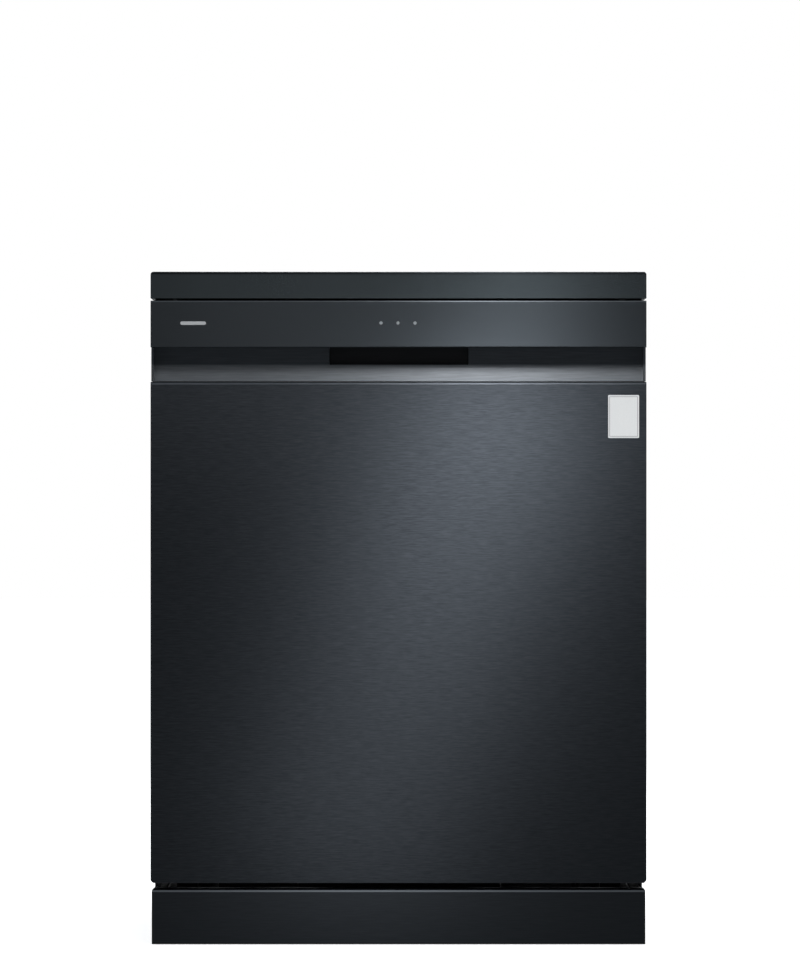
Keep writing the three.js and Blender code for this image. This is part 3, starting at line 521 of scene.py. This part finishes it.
def grip(name, y, z0, z1, mat):
    """A moulded handle across the front rim: a rounded bar with a finger hollow behind it."""
    bm = bmesh.new()
    half = 0.070
    rows = []
    for k in range(25):
        t = -1 + 2 * k / 24
        x = half * t
        zz = z0 + 0.0035 * (1 - math.cos(min(1, (1 - abs(t)) * 5) * math.pi)) / 2 * -1 + 0.0035
        prof = [(y - 0.0040, zz + 0.002), (y - 0.0055, (zz + z1) / 2), (y - 0.0040, z1 - 0.002), (y, z1), (y + 0.0036, z1 - 0.003), (y + 0.0036, z1 - 0.010), (y + 0.0008, z1 - 0.012), (y + 0.0008, zz)]
        rows.append([bm.verts.new((x, a, b)) for a, b in prof])
    n = len(rows[0])
    for a, b in zip(rows, rows[1:]):
        for i in range(n):
            bm.faces.new((a[i], a[(i + 1) % n], b[(i + 1) % n], b[i]))
    bm.faces.new(rows[0][::-1])
    bm.faces.new(rows[-1])
    o = from_bm(name, bm, mat)
    bevel(o, 0.0012, 3, 20)
    return o


lower_grip = grip("lower_rack_grip", LY0 - 0.0004, 0.296, 0.3262, M["grey"])
for o in (lower_rim, lower_cage, lower_tines, lower_brackets, lower_pins, lower_grip):
    ride(o, "lower_basket")
stands_for(lower_cage, "lower_rack")

fold_lines = [([Vector((-0.2015, 0.061, 0.196)), Vector((-0.0145, 0.061, 0.196))], False)]
for x in spread(-0.192, -0.024, 8):
    fold_lines.append((fillet([(x, 0.061, 0.196), (x, 0.061, 0.252), (x, 0.0645, 0.2605)], 0.01, 3), False))
fold = wires("folding_tine_row", fold_lines, 0.0019, M["wire"])
ride(fold, "folding_tines_body")
stands_for(fold, "folding_tines")

UW, UY0, UY1, UZ0, UZ1 = 0.2380, -0.2300, 0.2260, 0.4565, 0.5560
upper_rim = wires("upper_rack_rims", [ring(UW, UY0, UY1, UZ1), ring(UW - 0.0015, UY0 + 0.0015, UY1 - 0.0015, UZ1 - 0.030), ring(UW - 0.005, UY0 + 0.005, UY1 - 0.005, UZ0 + 0.004)], 0.0023, M["wire"])
upper_cage = wires(
    "upper_rack_cage",
    basket_wires(UW, UY0, UY1, UZ0, UZ1, spread(-0.200, 0.200, 17), spread(-0.195, 0.195, 12), 0.005, 0.0032),
    0.00155, M["wire"])
cup_lines = []
for x in (-0.120, -0.040, 0.040, 0.120):
    for y in spread(-0.195, 0.195, 14):
        cup_lines.append((fillet([(x, y, UZ0 + 0.003), (x, y, UZ0 + 0.030), (x + (0.004 if x > 0 else -0.004), y, UZ0 + 0.036)], 0.01, 3), False))
upper_tines = wires("upper_rack_tines", cup_lines, 0.0016, M["wire"])
items = []
for s in (-1, 1):
    a, b = sorted((s * 0.2460, s * 0.2504))
    items.append((a, b, -0.226, 0.228, 0.481, 0.495))
    for y in (-0.150, 0.150):
        a, b = sorted((s * 0.2340, s * 0.2470))
        items.append((a, b, y - 0.014, y + 0.014, 0.476, 0.500))
upper_runner = boxes("upper_rack_runners", items, M["grey"], 0.0012, 3)
upper_posts = boxes("cup_shelf_posts", [(-0.2400, -0.2292, -0.1560, -0.1506, 0.5480, 0.5660), (-0.2400, -0.2292, 0.0606, 0.0660, 0.5480, 0.5660)], M["grey"], 0.0012, 3)
upper_grip = grip("upper_rack_grip", UY0 - 0.0004, 0.530, 0.5602, M["grey"])
for o in (upper_rim, upper_cage, upper_tines, upper_runner, upper_posts, upper_grip):
    ride(o, "upper_basket")
stands_for(upper_cage, "upper_rack")

# Cutlery tray: frame, slatted floor, rows of holders and the divider.
T = []
x0, x1, y0, y1 = -0.242, 0.242, -0.228, 0.228
zt0, zt1 = 0.692, 0.720
T += [(x0, x1, y0, y0 + 0.0032, zt0, zt1), (x0, x1, y1 - 0.0032, y1, zt0, zt1), (x0, x0 + 0.0032, y0 + 0.003, y1 - 0.003, zt0, zt1), (x1 - 0.0032, x1, y0 + 0.003, y1 - 0.003, zt0, zt1)]
for x in spread(-0.226, 0.226, 33):
    T.append((x - 0.0016, x + 0.0016, y0 + 0.0028, y1 - 0.0028, 0.6926, 0.6950))
for y in spread(-0.200, 0.200, 9):
    T.append((x0 + 0.003, x1 - 0.003, y - 0.002, y + 0.002, 0.6922, 0.6954))
T.append((-0.0024, 0.0024, y0 + 0.003, y1 - 0.003, 0.6926, 0.7130))
for x in (-0.120, 0.120):
    T.append((x - 0.0020, x + 0.0020, y0 + 0.003, y1 - 0.003, 0.6926, 0.7080))
for s in (-1, 1):
    a, b = sorted((s * 0.2415, s * 0.2504))
    T.append((a, b, -0.222, 0.222, 0.7015, 0.7065))
tray = boxes("cutlery_tray_frame", T, M["grey"], 0.0006, 2)
F = []
for y in spread(-0.205, 0.205, 23):
    for xa, xb in ((-0.236, -0.200), (-0.162, -0.126), (0.126, 0.162), (0.200, 0.236)):
        F.append((xa, xb, y - 0.0011, y + 0.0011, 0.6945, 0.7065))
fingers = boxes("cutlery_tray_holders", F, M["grey"], 0.0004, 2)
for o in (tray, fingers):
    ride(o, "cutlery_drawer")
stands_for(tray, "cutlery_tray")

# ------------------------------------------------------------------ springs
for side, s in (("left", -1), ("right", 1)):
    pts = []
    turns, n = 30, 14
    ya, yb, rad, cx, cz = -0.150, -0.015, 0.0066, s * 0.281, 0.100
    pts += [Vector((cx, -0.180, cz + 0.004)), Vector((cx, -0.1785, cz - 0.004)), Vector((cx, -0.170, cz - 0.0045)), Vector((cx, -0.160, cz - 0.001))]
    for k in range(turns * n + 1):
        a = 2 * math.pi * k / n
        pts.append(Vector((cx + rad * math.cos(a), ya + (yb - ya) * k / (turns * n), cz + rad * math.sin(a))))
    pts += [Vector((cx, -0.006, cz + 0.001)), Vector((cx, 0.004, cz)), Vector((cx, 0.010, cz - 0.003)), Vector((cx, 0.010, cz - 0.014))]
    sp = wires("balance_spring_coil_" + side, [(pts, False)], 0.0014, M["zinc"])
    ride(sp, "cabinet")
    stands_for(sp, "balance_spring_" + side)

# ------------------------------------------------------------------ small things on the door's front
def rounded_plate(name, x0, x1, z0, z1, yb, yf, r, mat, n=6):
    bm = bmesh.new()
    ring_ = []
    for cx, cz, a0 in ((x1 - r, z1 - r, 0), (x0 + r, z1 - r, 90), (x0 + r, z0 + r, 180), (x1 - r, z0 + r, 270)):
        for k in range(n + 1):
            a = math.radians(a0 + 90 * k / n)
            ring_.append((cx + r * math.cos(a), cz + r * math.sin(a)))
    back = [bm.verts.new((x, yb, z)) for x, z in ring_]
    front = [bm.verts.new((x, yf, z)) for x, z in ring_]
    c = len(ring_)
    for i in range(c):
        bm.faces.new((back[i], back[(i + 1) % c], front[(i + 1) % c], front[i]))
    bm.faces.new(front)
    bm.faces.new(back[::-1])
    o = from_bm(name, bm, mat)
    return o


mark = rounded_plate("plain_mark", -0.2640, -0.2330, 0.7505, 0.7547, -0.2999, -0.30035, 0.0020, M["mark"])
bevel(mark, 0.0001, 2)
ride(mark, "door")
label = rounded_plate("blank_label", 0.2536, 0.2910, 0.6137, 0.6657, -0.2999, -0.30018, 0.0012, M["label"])
ride(label, "door")
frame_l = []
for a in ((0.2552, 0.2894, 0.6155, 0.6160), (0.2552, 0.2894, 0.6634, 0.6639), (0.2552, 0.2557, 0.6155, 0.6639), (0.2889, 0.2894, 0.6155, 0.6639)):
    frame_l.append((a[0], a[1], -0.30024, -0.3001, a[2], a[3]))
lab2 = boxes("blank_label_border", frame_l, M["label_line"], 0.00003, 1)
ride(lab2, "door")
# rings round the three light openings
bm = bmesh.new()
for x in (-0.0212, -0.0006, 0.0200):
    inner, outer = 0.0011, 0.0022
    def sq(h, y):
        return [bm.verts.new(p) for p in ((x - h, y, 0.7528), (x, y, 0.7528 - h), (x + h, y, 0.7528), (x, y, 0.7528 + h))]
    a, b_, c_, d_ = sq(inner, -0.2996), sq(inner, -0.30022), sq(outer, -0.30022), sq(outer, -0.2996)
    for p, q in ((a, b_), (b_, c_), (c_, d_), (d_, a)):
        for i in range(4):
            bm.faces.new((p[i], p[(i + 1) % 4], q[(i + 1) % 4], q[i]))
rings = from_bm("light_rims", bm, M["mark"])
ride(rings, "door")

# ------------------------------------------------------------------ spray nozzles
def nozzles(name, body, z, spots):
    bm = bmesh.new()
    for x, y, ang in spots:
        geo = bmesh.ops.create_cone(bm, cap_ends=True, segments=20, radius1=0.0042, radius2=0.0032, depth=0.0014)
        mtx = Matrix.Translation((x, y, z)) @ Matrix.Rotation(ang, 4, "Z") @ Matrix.Diagonal((1.5, 0.8, 1, 1))
        bmesh.ops.transform(bm, matrix=mtx, verts=geo["verts"])
    o = from_bm(name, bm, M["dark_plastic"])
    bevel(o, 0.0003, 2)
    ride(o, body)
    return o


HY = 0.010
nozzles("lower_arm_nozzles", "lower_spray_arm_body", 0.1713, [(s * d, HY + o, 0.5 * s) for s in (-1, 1) for d, o in ((0.06, 0.006), (0.10, -0.006), (0.14, 0.007), (0.175, -0.007), (0.205, 0.0))])
nozzles("middle_arm_nozzles", "middle_spray_arm_body", 0.4233, [(s * d, HY + o, 0.5 * s) for s in (-1, 1) for d, o in ((0.06, 0.005), (0.10, -0.005), (0.14, 0.006), (0.19, -0.004))])
nozzles("top_arm_nozzles", "top_spray_arm_body", 0.7377, [(s * d, HY + o, 0.5 * s) for s in (-1, 1) for d, o in ((0.05, 0.004), (0.09, -0.004), (0.13, 0.004), (0.155, 0.0))])

# ------------------------------------------------------------------ fasteners on the back and the cheeks
bm = bmesh.new()
for x in (-0.280, 0.280):
    for z in (0.110, 0.330, 0.550, 0.765):
        disc(bm, (x, 0.3003, z), (0, 1, 0), 0.0048, 0.0016, 24, 0.0040)
for x in (-0.095, 0.095):
    for z in (0.110, 0.765):
        disc(bm, (x, 0.3003, z), (0, 1, 0), 0.0048, 0.0016, 24, 0.0040)
scr = from_bm("rear_screws", bm, M["zinc"])
bevel(scr, 0.0005, 2)
ride(scr, "cabinet")
# pressed ribs in the rear panel
R = []
for z in (0.200, 0.300, 0.400, 0.500, 0.600, 0.700):
    R.append((-0.235, 0.235, 0.2990, 0.3008, z - 0.009, z + 0.009))
ribs = boxes("rear_panel_ribs", R, M["galv"], 0.0011, 3)
ride(ribs, "cabinet")
# end plates that close the plinth's notch towards the cheeks
ends = boxes("plinth_end_plates", [(s * 0.2964 - 0.0007, s * 0.2964 + 0.0007, -0.2628, -0.2468, 0.0450, 0.0672) for s in (-1, 1)], M["plinth_steel"], 0.0002, 1)
ride(ends, "cabinet")

def dress(o, width, angle=30):
    """Joined corners, flat faces kept whole, small edge rounds and smooth curved faces, all as modifiers."""
    me = o.data
    if "custom_normal" in me.attributes:
        me.attributes.remove(me.attributes["custom_normal"])
    for p in me.polygons:
        p.use_smooth = True
    w = o.modifiers.new("weld", "WELD")
    w.merge_threshold = 0.000004
    d = o.modifiers.new("planar", "DECIMATE")
    d.decimate_type = "DISSOLVE"
    d.angle_limit = math.radians(0.6)
    if width > 0:
        b = o.modifiers.new("edge", "BEVEL")
        b.width = width
        b.segments = 3
        b.limit_method = "ANGLE"
        b.angle_limit = math.radians(angle)
        b.use_clamp_overlap = True
    n = o.modifiers.new("normals", "WEIGHTED_NORMAL")
    n.weight = 60
    n.keep_sharp = True


for name, o in NODES.items():
    if name in REPLACED:
        continue
    dress(o, BEVEL.get(name, 0.0008), 14 if name in ("door_outer_panel", "control_fascia") else 30)

# ------------------------------------------------------------------ stage, camera, lights
floor_me = bpy.data.meshes.new("floor")
bm = bmesh.new()
for x, y in ((-20, -20), (20, -20), (20, 20), (-20, 20)):
    bm.verts.new((x, y, -0.0002))
bm.faces.new(bm.verts)
bm.to_mesh(floor_me)
bm.free()
floor = link(bpy.data.objects.new("floor", floor_me))
fm, nt, b = new_mat("pale_floor")
n = noise(nt, coords(nt, (1.5, 1.5, 1.5)), 1.0, 2.0, 0.5)
nt.links.new(ramp(nt, n, [(0.3, (0.86, 0.86, 0.86)), (0.7, (0.88, 0.88, 0.88))]), b.inputs["Base Color"])
b.inputs["Roughness"].default_value = 0.9
b.inputs["Specular IOR Level"].default_value = 0.1
b.inputs["Emission Color"].default_value = (1, 1, 1, 1)
b.inputs["Emission Strength"].default_value = 0.55
floor_me.materials.append(fm)
floor.visible_glossy = False

cam_d = bpy.data.cameras.new("camera")
cam = link(bpy.data.objects.new("camera", cam_d))
DIST = 6.5
cam.location = (0.0018, -0.300 - DIST, 0.552)
cam.rotation_euler = (math.radians(90), 0, 0)
cam_d.sensor_width = 36
cam_d.lens = 36 * DIST / (978 * 0.0012097)
cam_d.clip_end = 100
SC.camera = cam

world = bpy.data.worlds.new("world")
SC.world = world
world.use_nodes = True
wn = world.node_tree
wn.nodes.clear()
out = wn.nodes.new("ShaderNodeOutputWorld")
bg_cam = wn.nodes.new("ShaderNodeBackground")
bg_cam.inputs[0].default_value = (1, 1, 1, 1)
bg_cam.inputs[1].default_value = 1.0
bg = wn.nodes.new("ShaderNodeBackground")
mixs = wn.nodes.new("ShaderNodeMixShader")
lp = wn.nodes.new("ShaderNodeLightPath")
tc = wn.nodes.new("ShaderNodeTexCoord")
sep = wn.nodes.new("ShaderNodeSeparateXYZ")
wn.links.new(tc.outputs["Generated"], sep.inputs[0])
# brighter overhead, dark low in front
up = rng(wn, sep.outputs["Z"], -0.25, 0.9, 0.10, 0.9)
frt = rng(wn, sep.outputs["Y"], -0.95, 0.3, 0.47, 1.0)
low = rng(wn, sep.outputs["Z"], -0.20, -0.45, 0.0, 0.75)
val = math_node(wn, "ADD", math_node(wn, "MULTIPLY", up, frt), low)
wn.links.new(val, bg.inputs[1])
bg.inputs[0].default_value = (0.93, 0.97, 1.0, 1)
wn.links.new(lp.outputs["Is Camera Ray"], mixs.inputs[0])
wn.links.new(bg.outputs[0], mixs.inputs[1])
wn.links.new(bg_cam.outputs[0], mixs.inputs[2])
wn.links.new(mixs.outputs[0], out.inputs[0])


def area(name, loc, target, sx, sy, power, color=(1, 1, 1), roll=0.0):
    l = bpy.data.lights.new(name, "AREA")
    l.shape = "RECTANGLE"
    l.size, l.size_y = sx, sy
    l.energy = power
    l.color = color
    o = link(bpy.data.objects.new(name, l))
    o.location = loc
    d = Vector(target) - Vector(loc)
    q = d.to_track_quat("-Z", "Y")
    o.rotation_euler = (q.to_matrix().to_4x4() @ Matrix.Rotation(roll, 4, "Z")).to_euler()
    o.visible_camera = False
    return o


# the slanted strip that lays the diagonal sheen on the door
def strip(name, x0, z0, x1, z1, y, width, power):
    cx, cz = (x0 + x1) / 2, (z0 + z1) / 2
    length = math.hypot(x1 - x0, z1 - z0)
    l = bpy.data.lights.new(name, "AREA")
    l.shape = "RECTANGLE"
    l.size, l.size_y = width, length
    l.energy = power
    l.color = (0.95, 0.98, 1.0)
    o = link(bpy.data.objects.new(name, l))
    o.location = (cx, y, cz)
    tilt = math.atan2(x1 - x0, z1 - z0)
    o.rotation_euler = (math.radians(90), tilt, 0)
    o.rotation_mode = "XYZ"
    o.matrix_world = Matrix.Translation((cx, y, cz)) @ Matrix.Rotation(tilt, 4, "Y") @ Matrix.Rotation(math.radians(90), 4, "X")
    o.visible_camera = False
    return o


LX = [(0.180, 0.940), (0.160, 0.715), (0.114, 0.600), (0.064, 0.440), (0.010, 0.270), (-0.054, 0.110), (-0.106, 0.012)]
LW = [0.08, 0.16, 0.20, 0.20, 0.22, 0.24]
LP = [0.36, 1.62, 0.92, 0.58, 0.39, 0.44]
for i in range(6):
    (ax, az), (bx, bz) = LX[i], LX[i + 1]
    strip("sheen_%d" % i, bx, bz, ax, az, -1.30, LW[i], math.pi * LP[i] * math.hypot(ax - bx, az - bz))
area("fill_upper", (-0.10, -1.36, 0.79), (-0.10, 0.0, 0.79), 0.86, 0.36, 0.30)
area("fill_left", (-0.17, -1.37, 0.82), (-0.17, 0.0, 0.82), 0.26, 0.30, 0.10)
area("top_soft", (0.118, -0.86, 1.39), (0.11, -0.285, 0.69), 0.14, 0.35, 2.3)
area("top_wide", (0.0, -1.90, 2.70), (0.0, -0.285, 0.69), 2.6, 0.9, 6.5)
area("left_soft", (-3.0, -1.0, 1.6), (0, 0, 0.45), 1.6, 2.0, 30)
area("right_soft", (3.0, -0.6, 1.8), (0, 0, 0.45), 1.6, 2.0, 38)
area("back_soft", (0.6, 3.0, 2.0), (0, 0, 0.45), 2.0, 1.6, 40)
